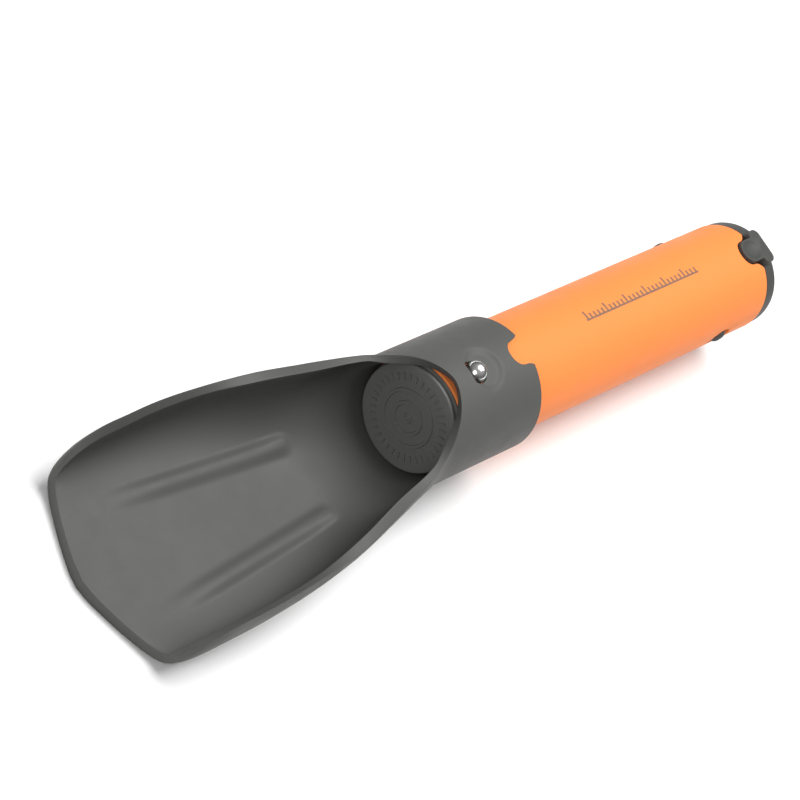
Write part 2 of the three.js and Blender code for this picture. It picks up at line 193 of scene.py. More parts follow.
# %% [markdown]
# ## Finishes
# All the plastic is satin moulded. Close up, such a surface has a fine spark-eroded grain, and
# over a hand's width its colour drifts a little. Both come from noise on Object coordinates, so
# they stay still on the piece when it moves. The constants sit on the shader's own sockets.

# %% The moulded plastic recipe
GRAIN_PER_METRE = 2600
DRIFT_PER_METRE = 22
CLOUD_PER_METRE = 160
NOISE_LOW, NOISE_HIGH = 0.3, 0.7
SPECKLE = 0.07
SPECKLE_SHARE = 0.35
ROUGHNESS_BAND = (-0.05, 0.06)
GRAIN_DEPTH = 0.00002
GRAIN_STRENGTH = 0.35


def new_material(name):
    """A new material, its node tree and its shader."""
    material = bpy.data.materials.new(name)
    material.use_nodes = True
    tree = material.node_tree
    return material, tree, tree.nodes["Principled BSDF"]


def noise(tree, scale, detail, roughness=0.5):
    """Noise on Object coordinates, with scale features in a metre."""
    coords = tree.nodes.new("ShaderNodeTexCoord")
    texture = tree.nodes.new("ShaderNodeTexNoise")
    texture.inputs["Scale"].default_value = scale
    texture.inputs["Detail"].default_value = detail
    texture.inputs["Roughness"].default_value = roughness
    tree.links.new(coords.outputs["Object"], texture.inputs["Vector"])
    return texture.outputs["Fac"]


def remap(tree, value, low, high):
    """Spreads a noise's usual values from low to high."""
    node = tree.nodes.new("ShaderNodeMapRange")
    node.inputs["From Min"].default_value = NOISE_LOW
    node.inputs["From Max"].default_value = NOISE_HIGH
    node.inputs["To Min"].default_value = low
    node.inputs["To Max"].default_value = high
    tree.links.new(value, node.inputs["Value"])
    return node.outputs["Result"]


def blend_colours(tree, factor, first, second):
    """Mixes two colours, each a value or another node's output."""
    node = tree.nodes.new("ShaderNodeMix")
    node.data_type = "RGBA"
    for socket, value in ((node.inputs[0], factor), (node.inputs[6], first), (node.inputs[7], second)):
        if isinstance(value, bpy.types.NodeSocket):
            tree.links.new(value, socket)
        else:
            socket.default_value = value
    return node.outputs[2]


def shade(colour, amount):
    """The colour made lighter or darker, with full alpha."""
    return tuple(min(c * amount, 1.0) for c in colour) + (1.0,)


def moulded(name, colour, roughness, drift=0.05, specular=0.17):
    """Satin plastic: its colour drifts and is finely speckled, and its surface has a grain."""
    material, tree, shader = new_material(name)
    broad = remap(tree, noise(tree, DRIFT_PER_METRE, detail=2.0), 0, 1)
    fine = remap(tree, noise(tree, GRAIN_PER_METRE, detail=2.0), 0, 1)
    base = blend_colours(tree, broad, shade(colour, 1 - drift), shade(colour, 1 + drift))
    speckled = blend_colours(tree, fine, shade(colour, 1 - SPECKLE), shade(colour, 1 + SPECKLE))
    coloured = blend_colours(tree, SPECKLE_SHARE, base, speckled)
    tree.links.new(coloured, shader.inputs["Base Color"])
    cloud = noise(tree, CLOUD_PER_METRE, detail=4.0)
    low, high = (roughness + shift for shift in ROUGHNESS_BAND)
    tree.links.new(remap(tree, cloud, low, high), shader.inputs["Roughness"])
    bump = tree.nodes.new("ShaderNodeBump")
    bump.inputs["Strength"].default_value = GRAIN_STRENGTH
    bump.inputs["Distance"].default_value = GRAIN_DEPTH
    tree.links.new(noise(tree, GRAIN_PER_METRE, detail=3.0, roughness=0.6), bump.inputs["Height"])
    tree.links.new(bump.outputs["Normal"], shader.inputs["Normal"])
    shader.inputs["Specular IOR Level"].default_value = specular
    return material, tree, shader, coloured


BLADE_GREY = (0.090, 0.092, 0.086)
CAP_GREY = (0.064, 0.066, 0.062)
PLUG_GREY = (0.142, 0.144, 0.136)
ORANGE = (0.93, 0.264, 0.070)
blade_nylon = moulded("blade_nylon", BLADE_GREY, 0.54)[0]
cap_nylon = moulded("cap_nylon", CAP_GREY, 0.52)[0]
plug_plastic = moulded("plug_plastic", PLUG_GREY, 0.50)[0]
print("plastics:", blade_nylon.name, cap_nylon.name, plug_plastic.name)

# %% [markdown]
# The handle carries a pad-printed mark near its middle. A plain depth scale stands there: short
# ticks every two millimetres, with a long one every ten. It is a pattern in the material, from
# the distance along the handle and the distance round it, so it adds no thickness.

# %% The orange handle with its printed scale
SCALE_FROM = 70.0
SCALE_TO = 126.0
SCALE_ARC = 0.6
TICK_STEP = 2.0
TICK_WIDTH = 0.9
TICK_SHORT = 2.2
TICK_LONG = 3.4
TICKS_PER_LONG = 5
BASE_LINE = 0.7
INK = (0.165, 0.125, 0.095)
INK_WEAR_PER_METRE = 900
INK_COVER = (0.82, 0.95)


def maths(tree, operation, *values):
    """One Math node on numbers or on other nodes' outputs."""
    node = tree.nodes.new("ShaderNodeMath")
    node.operation = operation
    for socket, value in zip(node.inputs, values):
        if isinstance(value, bpy.types.NodeSocket):
            tree.links.new(value, socket)
        else:
            socket.default_value = value
    return node.outputs[0]


def handle_orange():
    """The orange plastic with the scale in ink on it."""
    material, tree, shader, plain = moulded("handle_orange", ORANGE, 0.5, drift=0.02, specular=0.1)
    coords = tree.nodes.new("ShaderNodeTexCoord")
    split = tree.nodes.new("ShaderNodeSeparateXYZ")
    tree.links.new(coords.outputs["Object"], split.inputs[0])
    along = maths(tree, "DIVIDE", maths(tree, "SUBTRACT", split.outputs[0], FACE_X), MM)
    height = maths(tree, "SUBTRACT", split.outputs[2], AXIS_Z)
    turn = maths(tree, "ARCTAN2", split.outputs[1], height)
    arc = maths(tree, "SUBTRACT", maths(tree, "MULTIPLY", turn, HANDLE_R), SCALE_ARC)

    def tick(step, length):
        phase = maths(tree, "SUBTRACT", along, SCALE_FROM - TICK_WIDTH / 2)
        near = maths(tree, "LESS_THAN", maths(tree, "FLOORED_MODULO", phase, step), TICK_WIDTH)
        return maths(tree, "MULTIPLY", near, maths(tree, "LESS_THAN", arc, length))

    ticks = maths(tree, "MAXIMUM", tick(TICK_STEP, TICK_SHORT),
                  tick(TICK_STEP * TICKS_PER_LONG, TICK_LONG))
    ticks = maths(tree, "MAXIMUM", ticks, maths(tree, "LESS_THAN", arc, BASE_LINE))
    spans = [maths(tree, "GREATER_THAN", along, SCALE_FROM - TICK_WIDTH),
             maths(tree, "LESS_THAN", along, SCALE_TO + TICK_WIDTH),
             maths(tree, "GREATER_THAN", arc, 0.0)]
    mask = ticks
    for span in spans:
        mask = maths(tree, "MULTIPLY", mask, span)
    worn = remap(tree, noise(tree, INK_WEAR_PER_METRE, detail=3.0), *INK_COVER)
    inked = blend_colours(tree, maths(tree, "MULTIPLY", mask, worn), plain, (*INK, 1.0))
    tree.links.new(inked, shader.inputs["Base Color"])
    return material


orange_plastic = handle_orange()
print("printed scale from", SCALE_FROM, "to", SCALE_TO, "mm")

# %% [markdown]
# Two steels are used. The pin is polished, so it only needs faint tumbling marks in its
# roughness. The spring is rolled strip, with a grain that runs along it.

# %% Steel for the pin and the spring
MARKS_PER_METRE = 900
STEEL_TINT = (0.94, 1.04)
STEEL_ROUGHNESS = (0.8, 1.3)
POLISHED = (0.90, 0.90, 0.89)
ROLLED = (0.56, 0.56, 0.55)
EVEN_MARKS = (1, 1, 1)
MARKS_ALONG_X = (0.12, 1, 1)


def steel(name, colour, roughness, stretch):
    """Bare steel whose tint and roughness vary with fine marks."""
    material, tree, shader = new_material(name)
    shader.inputs["Metallic"].default_value = 1.0
    coords = tree.nodes.new("ShaderNodeTexCoord")
    mapping = tree.nodes.new("ShaderNodeMapping")
    mapping.inputs["Scale"].default_value = stretch
    texture = tree.nodes.new("ShaderNodeTexNoise")
    texture.inputs["Scale"].default_value = MARKS_PER_METRE
    texture.inputs["Detail"].default_value = 4.0
    tree.links.new(coords.outputs["Object"], mapping.inputs["Vector"])
    tree.links.new(mapping.outputs["Vector"], texture.inputs["Vector"])
    value = texture.outputs["Fac"]
    dark, light = (shade(colour, share) for share in STEEL_TINT)
    tint = blend_colours(tree, value, dark, light)
    tree.links.new(tint, shader.inputs["Base Color"])
    low, high = (roughness * share for share in STEEL_ROUGHNESS)
    tree.links.new(remap(tree, value, low, high), shader.inputs["Roughness"])
    return material


pin_steel = steel("pin_steel", POLISHED, 0.2, EVEN_MARKS)
spring_steel = steel("spring_steel", ROLLED, 0.3, MARKS_ALONG_X)
print("steels:", pin_steel.name, spring_steel.name)

# %% [markdown]
# ## The handle tube
# A moulding gets its notches and holes from shaped pins in the mould. Here each one is a cutter: a
# flat outline of arcs that is extruded. One helper makes the prism, and the others give the arcs,
# the U-shaped notch and the round hole, because the tube and the sleeve both need them.

# %% Cutters for notches and holes
def flat_outline(points, low, high):
    """A prism along Z over an outline of (x, y) points."""
    bm = bmesh.new()
    verts = [bm.verts.new((x, y, low)) for x, y in points]
    made = bmesh.ops.contextual_create(bm, geom=verts)
    grown = bmesh.ops.extrude_face_region(bm, geom=made["faces"])
    top = [g for g in grown["geom"] if isinstance(g, bmesh.types.BMVert)]
    bmesh.ops.translate(bm, vec=(0, 0, high - low), verts=top)
    clean(bm)
    return bm


def arc_points(centre, radius, start, end, count):
    """Points on an arc, with its angles in degrees."""
    turns = [math.radians(mix(start, end, i / count)) for i in range(count + 1)]
    return [(centre[0] + radius * math.cos(a), centre[1] + radius * math.sin(a)) for a in turns]


def notch_outline(bottom, half_width, rim, rim_half_width, beyond=5):
    """A U with its mouth on a rim: a half circle, and sides that flare to the rim."""
    centre = bottom + half_width
    steps = 8
    flare = [(mix(rim, centre, t), mix(rim_half_width, half_width, 1 - (1 - t) ** 2))
             for t in (i / steps for i in range(steps))]
    upper = [(rim + beyond, rim_half_width), *flare]
    bend = arc_points((centre, 0), half_width, 90, 270, 24)
    lower = [(x, -y) for x, y in reversed(upper)]
    return [*upper, *bend, *lower]


def drill(x, radius, low, high, steps=48):
    """A round cutter that stands along Z."""
    return flat_outline(arc_points((x, 0), radius, 0, 360 - 360 / steps, steps - 1), low, high)


print("cutters: prism, notch and round drill")

# %% [markdown]
# The tube could be a cylinder with a wall from solidify, but one spun ring also gives it rounded
# rims. It has many steps along it, so that its cuts stay local: a notch for the cap's thumb pad,
# the pin's hole on top, and an oval window on each side for the latches.

# %% The tube
TUBE_WALL = 1.8
TUBE_BORE_R = HANDLE_R - TUBE_WALL
TUBE_LIP = 0.35
CAP_NOTCH = (149.75, 4.1, TUBE_REAR, 6.6)
PIN_X = 13.6
PIN_R = 3.2
PIN_HOLE_R = PIN_R + 0.2
THROUGH_TOP = (8, 20)
WINDOW_X = 139.2
WINDOW_HALF = (4.9, 3.6, 1)
THROUGH_SIDES = (-20, 20)
RING_STEP = 3.0


def along(start, end, step):
    """Even steps from start to end, each about as long as step."""
    count = max(round(abs(end - start) / step), 1)
    return [mix(start, end, i / count) for i in range(count + 1)]


def handle_tube():
    lip = TUBE_LIP
    stations = along(TUBE_FRONT + lip, TUBE_REAR - lip, RING_STEP)
    outer = [(x, HANDLE_R) for x in stations]
    bore = [(x, TUBE_BORE_R) for x in reversed(stations)]
    rear = [(TUBE_REAR, HANDLE_R - lip), (TUBE_REAR, TUBE_BORE_R + lip)]
    front = [(TUBE_FRONT, TUBE_BORE_R + lip), (TUBE_FRONT, HANDLE_R - lip)]
    tube = revolve([*outer, *rear, *bore, *front], steps=128)
    notch = flat_outline(notch_outline(*CAP_NOTCH), *THROUGH_TOP)
    pin_hole = drill(PIN_X, PIN_HOLE_R, *THROUGH_TOP)
    window = flat_outline(arc_points((0, 0), 1, 0, 355, 71), *THROUGH_SIDES)
    sideways = Matrix.Translation((WINDOW_X, 0, 0)) @ Matrix.Rotation(math.pi / 2, 4, "X")
    bmesh.ops.scale(window, vec=WINDOW_HALF, verts=window.verts)
    bmesh.ops.transform(window, matrix=sideways, verts=window.verts)
    return combine(tube, notch, pin_hole, window)


finish_piece(handle_tube(), "tube_shell", "handle", orange_plastic, ["handle_tube"])

# %% [markdown]
# ## The front plug
# The disc in the sleeve's mouth closes the handle. The real one has raised decoration. Here it is
# a plain dial: three raised rings come from the spun profile, and a ring of short raised bars is
# made by insetting every fourth face of a flat band, one by one. A groove behind the face, like
# the seat of a seal, keeps the disc's edge dark against the orange tube.

# %% The plug and its dial
PLUG_R = 15.85
PLUG_EDGE = 0.4
RIM_X = 0.8
GROOVE_X = (0.95, 1.9)
GROOVE_R = 15.1
FLANGE_X = (2.0, 2.4)
FLANGE_R = 16.25
PLUG_REAR = 9.6
SPIGOT_R = TUBE_BORE_R - 0.3
SPIGOT_CHAMFER = 0.4
SPIGOT_BORE_R = 12.2
RELIEF = 0.42
HUB_R = 0.7
RINGS = ((1.15, 0.25), (4.6, 0.4), (8.2, 0.4))
RING_SLOPE = 0.16
BAND = (10.9, 12.9)
BAR_SLOPE = 0.1
ON_FACE = 0.01
DIAL_STEPS = 144
BARS_EVERY = 4


def raised_ring(radius, half_width):
    """Profile points of one raised ring on the plug's face, from the inside outwards."""
    inside, outside = radius - half_width, radius + half_width
    return [(0, inside - RING_SLOPE), (-RELIEF, inside), (-RELIEF, outside), (0, outside + RING_SLOPE)]


def front_plug():
    edge = PLUG_EDGE
    corner = [(edge - edge * math.cos(a), PLUG_R - edge + edge * math.sin(a))
              for a in (math.radians(15 * i) for i in range(7))]
    rings = [point for ring in RINGS for point in raised_ring(*ring)]
    face = [(0, 0), (0, HUB_R), *rings, (0, BAND[0]), (0, BAND[1])]
    groove = [(RIM_X, PLUG_R), (GROOVE_X[0], GROOVE_R), (GROOVE_X[1], GROOVE_R)]
    flange = [(FLANGE_X[0], FLANGE_R), (FLANGE_X[1], FLANGE_R)]
    spigot = [(FLANGE_X[1], SPIGOT_R), (PLUG_REAR - SPIGOT_CHAMFER, SPIGOT_R),
              (PLUG_REAR, SPIGOT_R - SPIGOT_CHAMFER), (PLUG_REAR, SPIGOT_BORE_R),
              (FLANGE_X[1], SPIGOT_BORE_R), (FLANGE_X[1], 0)]
    bm = revolve([*face, *corner, *groove, *flange, *spigot], steps=DIAL_STEPS, closed=False)

    def in_band(f):
        radius = math.hypot(f.calc_center_median().y, f.calc_center_median().z)
        return BAND[0] < radius < BAND[1] and f.calc_center_median().x < ON_FACE

    def turn(f):
        centre = f.calc_center_median()
        return math.atan2(centre.y, centre.z)

    band = sorted((f for f in bm.faces if in_band(f)), key=turn)
    bars = [f for i, f in enumerate(band) if i % BARS_EVERY == 0]
    bmesh.ops.inset_individual(bm, faces=bars, thickness=BAR_SLOPE, depth=RELIEF)
    print("raised bars on the dial:", len(bars))
    return bm


finish_piece(front_plug(), "dial_plug", "handle", plug_plastic, ["front_plug"])

# %% [markdown]
# ## The lock pin and its spring
# The pin is a steel stud with a domed head. It stands in the sleeve's dished recess, and its wide
# foot under the tube's wall keeps it from falling out. It is turned from one profile, because a
# lathe makes the real one, and the spin's axis is then stood upright.

# %% The pin
PIN_TOP = 21.0
PIN_HEAD_R = 4.0
PIN_HEAD_TOP = 14.1
PIN_HEAD_LOW = 12.9
PIN_CHAMFER = 0.25
DOME_STEPS = 12


def lock_pin():
    dome_centre = PIN_TOP - PIN_R
    dome = [(dome_centre + PIN_R * math.sin(a), PIN_R * math.cos(a))
            for a in (math.radians(90 / DOME_STEPS * i) for i in range(DOME_STEPS))]
    foot = [(PIN_HEAD_LOW, 0), (PIN_HEAD_LOW, PIN_HEAD_R - PIN_CHAMFER),
            (PIN_HEAD_LOW + PIN_CHAMFER, PIN_HEAD_R), (PIN_HEAD_TOP - PIN_CHAMFER, PIN_HEAD_R),
            (PIN_HEAD_TOP, PIN_HEAD_R - PIN_CHAMFER)]
    bm = revolve([*foot, (PIN_HEAD_TOP, PIN_R), *dome, (PIN_TOP, 0)], steps=64, closed=False)
    upright = Matrix.Translation((PIN_X, 0, 0)) @ Matrix.Rotation(-math.pi / 2, 4, "Y")
    bmesh.ops.transform(bm, matrix=upright, verts=bm.verts)
    return bm


finish_piece(lock_pin(), "pin_stud", "lock_button", pin_steel, ["lock_pin"])

# %% [markdown]
# The spring is a steel strip bent into a long U inside the tube, and its upper end pushes the pin
# out. A chain of vertices follows the bend, is widened to a strip, has its folds rounded by a
# bevel and gets its thickness from solidify.

# %% The spring strip
STRIP_WIDTH = 7.0
STRIP_THICKNESS = 0.6
FLAT_REACH = 4
FOOT_REACH = 2
FOLD_R = 1.6
BEND = ((-4, 4.5), (-0.8, 2), (0, -0.5), (-0.9, -3), (-4, -6))


def lock_spring():
    """The strip's mesh, its height and its lowest z, the last two in the frame's metres."""
    low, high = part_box("lock_spring")
    top = (high.z - AXIS_Z) / MM - STRIP_THICKNESS / 2
    floor = (low.z - AXIS_Z) / MM + STRIP_THICKNESS / 2
    bend_x = (high.x - FACE_X) / MM - STRIP_THICKNESS / 2
    corners = [(PIN_X - FLAT_REACH, top), (PIN_X + FLAT_REACH, top),
               *[(bend_x + back, z) for back, z in BEND],
               (PIN_X + FLAT_REACH, floor), (PIN_X - FOOT_REACH, floor)]
    bm = bmesh.new()
    verts = [bm.verts.new((x, -STRIP_WIDTH / 2, z)) for x, z in corners]
    edges = [bm.edges.new(pair) for pair in zip(verts, verts[1:])]
    grown = bmesh.ops.extrude_edge_only(bm, edges=edges)
    far = [g for g in grown["geom"] if isinstance(g, bmesh.types.BMVert)]
    bmesh.ops.translate(bm, vec=(0, STRIP_WIDTH, 0), verts=far)
    folds = [e for e in bm.edges if len(e.link_faces) == 2]
    bmesh.ops.bevel(bm, geom=folds, offset=FOLD_R, offset_type="OFFSET", segments=5, profile=0.5,
                    affect="EDGES", material=-1, clamp_overlap=True)
    bmesh.ops.recalc_face_normals(bm, faces=bm.faces)
    bmesh.ops.solidify(bm, geom=bm.faces, thickness=STRIP_THICKNESS)
    clean(bm)
    centre = (low + high) / 2
    mid = Vector(((centre.x - FACE_X) / MM, 0, (centre.z - AXIS_Z) / MM))
    xs = [v.co.x for v in bm.verts]
    zs = [v.co.z for v in bm.verts]
    drift = Vector((mid.x - (min(xs) + max(xs)) / 2, 0, mid.z - (min(zs) + max(zs)) / 2))
    bmesh.ops.translate(bm, vec=drift, verts=bm.verts)
    return bm, high.z - low.z, low.z


spring_mesh, spring_height, spring_floor = lock_spring()
spring = finish_piece(spring_mesh, "strip_spring", "handle", spring_steel,
                      ["lock_spring"])
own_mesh(spring)

# %% [markdown]
# ## The blade
# The scoop and its sleeve are one moulding, and its shape changes all the way along: a closed
# round sleeve opens at an arched mouth, spreads into a deep trough with a wedge lip, and ends in a
# blunt point. A flat grid is the simplest start. One way across the grid follows half of the
# cross-section, from the floor inside, over the lip and back under the sole. The other way
# follows the length. Each grid vertex is moved to its place by the section's formula, and a mirror
# makes the other half. The formula starts from seven measured sections, with a smooth curve
# through their values. Each lip edge is a radius from the handle's axis and an angle from
# straight up.

# %% The blade's key sections
BORE_R = 16.85
SLEEVE_REAR = 35.6
SOLE = 22.0
SECTIONS = [
    dict(x=-4, peak=(19.4, 45), inner=(16.8, 45), outer=(19.4, 52), floor=16.85, sole=19.45),
    dict(x=-12, peak=(21.1, 63.5), inner=(19.3, 61.5), outer=(21.1, 71), floor=17.4, sole=20.3),
    dict(x=-29, peak=(24.6, 77.8), inner=(21.8, 73), outer=(24.8, 86), floor=18.4, sole=21.5),
    dict(x=-45, peak=(28, 85.3), inner=(25.1, 84.5), outer=(28.3, 92), floor=19, sole=SOLE),
    dict(x=-62, peak=(29.7, 86), inner=(27.9, 89.2), outer=(30.6, 92.5), floor=19, sole=SOLE),
    dict(x=-78, peak=(30.7, 87.3), inner=(29.0, 92.3), outer=(31.6, 94), floor=19, sole=SOLE),
    dict(x=-92, peak=(30.8, 90.4), inner=(29.2, 96.9), outer=(31.9, 98.5), floor=18.9, sole=SOLE),
]
MOUTH_TOP = 2.75
MOUTH_SIDE = SECTIONS[0]["x"]
MOUTH_ANGLE = 45
MOUTH_POWER = 0.7
MOUTH_SLOPE = -MOUTH_ANGLE * MOUTH_POWER / (MOUTH_TOP - MOUTH_SIDE)
MOUTH_SETBACK = 1.65
LIP_LAG = 7
CORNER_START = SECTIONS[-1]["x"]
CORNER_END = -107.6


def keyed(read, x, first_slope=0.0):
    """A smooth curve through the key sections' values at x."""
    x = min(max(x, CORNER_START), MOUTH_SIDE)
    i = 0
    while i < len(SECTIONS) - 2 and x < SECTIONS[i + 1]["x"]:
        i += 1

    def at(k):
        return SECTIONS[min(max(k, 0), len(SECTIONS) - 1)]

    def slope(k):
        return (read(at(k + 1)) - read(at(k - 1))) / (at(k + 1)["x"] - at(k - 1)["x"])

    span = at(i + 1)["x"] - at(i)["x"]
    t = (x - at(i)["x"]) / span
    start = (first_slope if i == 0 else slope(i)) * span
    end = slope(i + 1) * span
    return ((2 * t**3 - 3 * t**2 + 1) * read(at(i)) + (t**3 - 2 * t**2 + t) * start
            + (3 * t**2 - 2 * t**3) * read(at(i + 1)) + (t**3 - t**2) * end)


print(len(SECTIONS), "key sections from x =", MOUTH_SIDE, "to", CORNER_START, "mm")

# %% [markdown]
# The lip follows three edges: a sharp peak, an inner edge and an outer edge. In the arched mouth
# they climb to the top of the sleeve. At the tip's corners they sink towards the floor, where the
# wedge turns into the blunt front face. The sink is a quarter circle, and a power above 1 keeps
# each edge wide for longer while it sinks, so the corner is rounded from above too.

# %% The lip's three edges
CORNER_INNER = (27.0, -14.6)
CORNER_PEAK = (27.9, -15.6)
CORNER_OUTER = (27.9, -17.6)
INNER_WIDE = 1.2
OUTER_WIDE = 1.7


def mouth_angle(x):
    """The angle at which the lip stands at x, from straight up, in degrees."""
    if x >= MOUTH_TOP:
        return 0.0
    return MOUTH_ANGLE * ((MOUTH_TOP - x) / (MOUTH_TOP - MOUTH_SIDE)) ** MOUTH_POWER


def lip_at(x):
    """The inner, peak and outer lip edges at x, as (y, z) points."""
    u = min(max((CORNER_START - x) / (CORNER_START - CORNER_END), 0), 1)
    fall = 1 - math.sqrt(1 - u * u)

    def edge(name, lag, target, wide):
        angle = mouth_angle(x) + lag
        if x <= MOUTH_SIDE:
            angle = keyed(lambda s: s[name][1], x, MOUTH_SLOPE)
        radius = keyed(lambda s: s[name][0], x)
        turn = math.radians(angle)
        y, z = radius * math.sin(turn), radius * math.cos(turn)
        return mix(y, target[0], fall**wide), mix(z, target[1], fall)

    return (edge("inner", 0, CORNER_INNER, INNER_WIDE), edge("peak", 0, CORNER_PEAK, OUTER_WIDE),
            edge("outer", LIP_LAG, CORNER_OUTER, OUTER_WIDE))


print("the lip's peak at the widest section:", [round(c, 1) for c in lip_at(CORNER_START)[1]])

# %% [markdown]
# Between the floor and the lip the section is a round arc in the sleeve. Further out it becomes a
# trough, which is an oval with an exponent: 2 is a plain ellipse, and more makes it squarer.
# Two ribs stiffen the floor: each is a soft ridge with a rounded rear end, and it fades out in
# front. A round recess is pressed into the roof, and the pin stands in it. All of these are
# small moves of the grid's own vertices, so the floor stays one smooth surface.

# %% Bowl, ribs, recess and tip
RIB_HEIGHT = 1.75
RIB_HALF_WIDTH = 3.7
RIB_CREST = 0.12
RIB_LINE = ((-30.5, 11.3), (-101, 16.6))
RIB_FADE = (-72, -103)
DISH_CENTRE = 16.6
DISH_R = 6.8
DISH_DEPTH = 1.5
DISH_FLOOR = 0.7
DISH_REAR_SHARE = 0.5
TIP_X = -117.2
TIP_SWEEP = 0.33
TIP_BOW = 0.0015
TIP_ROUND = 3.5


def bowl(depth, end, squareness, roundness, steps):
    """A curve of (y, z) points from straight below the axis to the end point."""
    end_y, end_z = end
    reach = math.hypot(end_y, end_z)
    sweep = math.pi if abs(end_y) < 1e-6 and end_z > 0 else math.atan2(end_y, -end_z)
    curve = []
    for i in range(steps + 1):
        t = i / steps
        quarter = t * math.pi / 2
        sine, cosine = math.sin(quarter), max(math.cos(quarter), 0)
        radius = 1 / math.hypot(sine / reach, cosine / depth)
        arc_y, arc_z = radius * math.sin(sweep * t), -radius * math.cos(sweep * t)
        trough_y = end_y * sine ** (2 / squareness)
        trough_z = end_z - (end_z + depth) * cosine ** (2 / squareness)
        curve.append((mix(trough_y, arc_y, roundness), mix(trough_z, arc_z, roundness)))
    return curve


def rib_lift(x, y):
    """How far a rib lifts the floor: it has a rounded rear end and fades out in front."""
    (x0, y0), (x1, y1) = RIB_LINE
    line = mix(y0, y1, (x - x0) / (x1 - x0))
    offset = math.hypot(y - line, max(x - x0, 0)) / RIB_HALF_WIDTH
    fade = smooth(RIB_FADE[1], RIB_FADE[0], x)
    return RIB_HEIGHT * fade * (1 - smooth(RIB_CREST, 1, offset))


def dished(x, y, z):
    """The sleeve's roof with the round recess pressed into it, deepest in front of the pin."""
    if z < 0:
        return z
    away = math.hypot(x - DISH_CENTRE, y) / DISH_R
    rearward = smooth(DISH_CENTRE - DISH_R, DISH_CENTRE + DISH_R, x)
    depth = DISH_DEPTH * mix(1, DISH_REAR_SHARE, rearward)
    return z - depth * (1 - smooth(DISH_FLOOR, 1, away))


def tip_x(y):
    """Where the blunt point's outline lies at a distance y from the middle."""
    y = abs(y)
    centre = math.sqrt(y * y + TIP_ROUND**2) - TIP_ROUND
    return TIP_X + TIP_SWEEP * centre + TIP_BOW * y * y


print("ribs", RIB_HEIGHT, "mm high, recess", DISH_DEPTH, "mm deep, tip at x =", TIP_X, "mm")

# %% [markdown]
# One station of the grid is the half section at one place along the blade. Near the tip the
# stations bend forward in the middle, until the last one is the point's own outline.

# %% One half section
WALL_STEPS = 64
STRIP_STEPS = 4
CREST_STEPS = 3
ROUND_FROM, ROUND_TO = -42, -8
SQUARE_FROM, SQUARE_TO = -40, -95
SQUARENESS = (2.35, 3.4)
FLATTER_INSIDE = 1.0
BORE_FROM = 2
CORNER_FLOOR = 18.6
INNER_LIP = WALL_STEPS
PEAK_LIP = WALL_STEPS + STRIP_STEPS
OUTER_LIP = PEAK_LIP + CREST_STEPS
PATH_STEPS = OUTER_LIP + WALL_STEPS


def half_section(x):
    """The points of the inner wall, the lip's strip, its crest and the outer wall at x."""
    inner_lip, peak, outer_lip = lip_at(x)
    roundness = smooth(ROUND_FROM, ROUND_TO, x)
    squareness = mix(*SQUARENESS, smooth(SQUARE_FROM, SQUARE_TO, x))
    floor = mix(keyed(lambda s: s["floor"], x), BORE_R, smooth(MOUTH_SIDE, BORE_FROM, x))
    floor = mix(floor, CORNER_FLOOR, smooth(CORNER_START, CORNER_END, x))
    sole = min(keyed(lambda s: s["sole"], x), SOLE)
    inner = bowl(floor, inner_lip, squareness + FLATTER_INSIDE, roundness, WALL_STEPS)
    strip = [(mix(inner_lip[0], peak[0], i / STRIP_STEPS), mix(inner_lip[1], peak[1], i / STRIP_STEPS))
             for i in range(1, STRIP_STEPS + 1)]
    polar = [(math.hypot(*p), math.atan2(p[0], p[1])) for p in (peak, outer_lip)]
    crest = []
    for i in range(1, CREST_STEPS + 1):
        radius, turn = (mix(a, b, i / CREST_STEPS) for a, b in zip(*polar))
        crest.append((radius * math.sin(turn), radius * math.cos(turn)))
    outer = bowl(sole, outer_lip, squareness, roundness, WALL_STEPS)[::-1][1:]
    return inner, strip, crest, outer


SWEEP_START = -62
SETBACK_FADE = MOUTH_TOP + 9


def placed_section(x):
    """The half section's points as vectors, with the tip's sweep, the ribs and the recess."""
    inner, strip, crest, outer = half_section(x)
    tip_share = smooth(SWEEP_START, CORNER_END, x)
    lip_y = inner[-1][0]
    placed = []
    for k, (y, z) in enumerate([*inner, *strip, *crest, *outer]):
        point_x = x + tip_share * (tip_x(min(y, lip_y)) - tip_x(lip_y))
        if k < PEAK_LIP:
            # The opening is set back most on top, and not at all from 45 degrees down the side.
            turn = math.degrees(math.atan2(y, z))
            share = smooth(0, 1, math.cos(math.radians(2 * min(turn, 45)))) if z > 0 else 0
            back = MOUTH_SETBACK * share
            along_strip = max(k - INNER_LIP, 0) / STRIP_STEPS
            point_x += back * (1 - along_strip) * (1 - smooth(MOUTH_TOP, SETBACK_FADE, x))
        if k <= INNER_LIP:
            z += rib_lift(point_x, y)
        elif k >= PEAK_LIP:
            z = dished(point_x, y, z)
        placed.append(Vector((point_x, y, z)))
    return placed


print("points in one half section:", len(placed_section(MOUTH_SIDE)))

# %% [markdown]
# The stations are close together where the shape turns quickly: at the mouth's arch and at the
# tip's corners. Even steps would either cut those corners or waste faces on the straight sleeve.

# %% Where the stations stand
SLEEVE_STEP = 0.55
TROUGH_STEP = 1.3
MOUTH_GAP = 0.4
MOUTH_STATIONS = 24
CORNER_STATIONS = 26


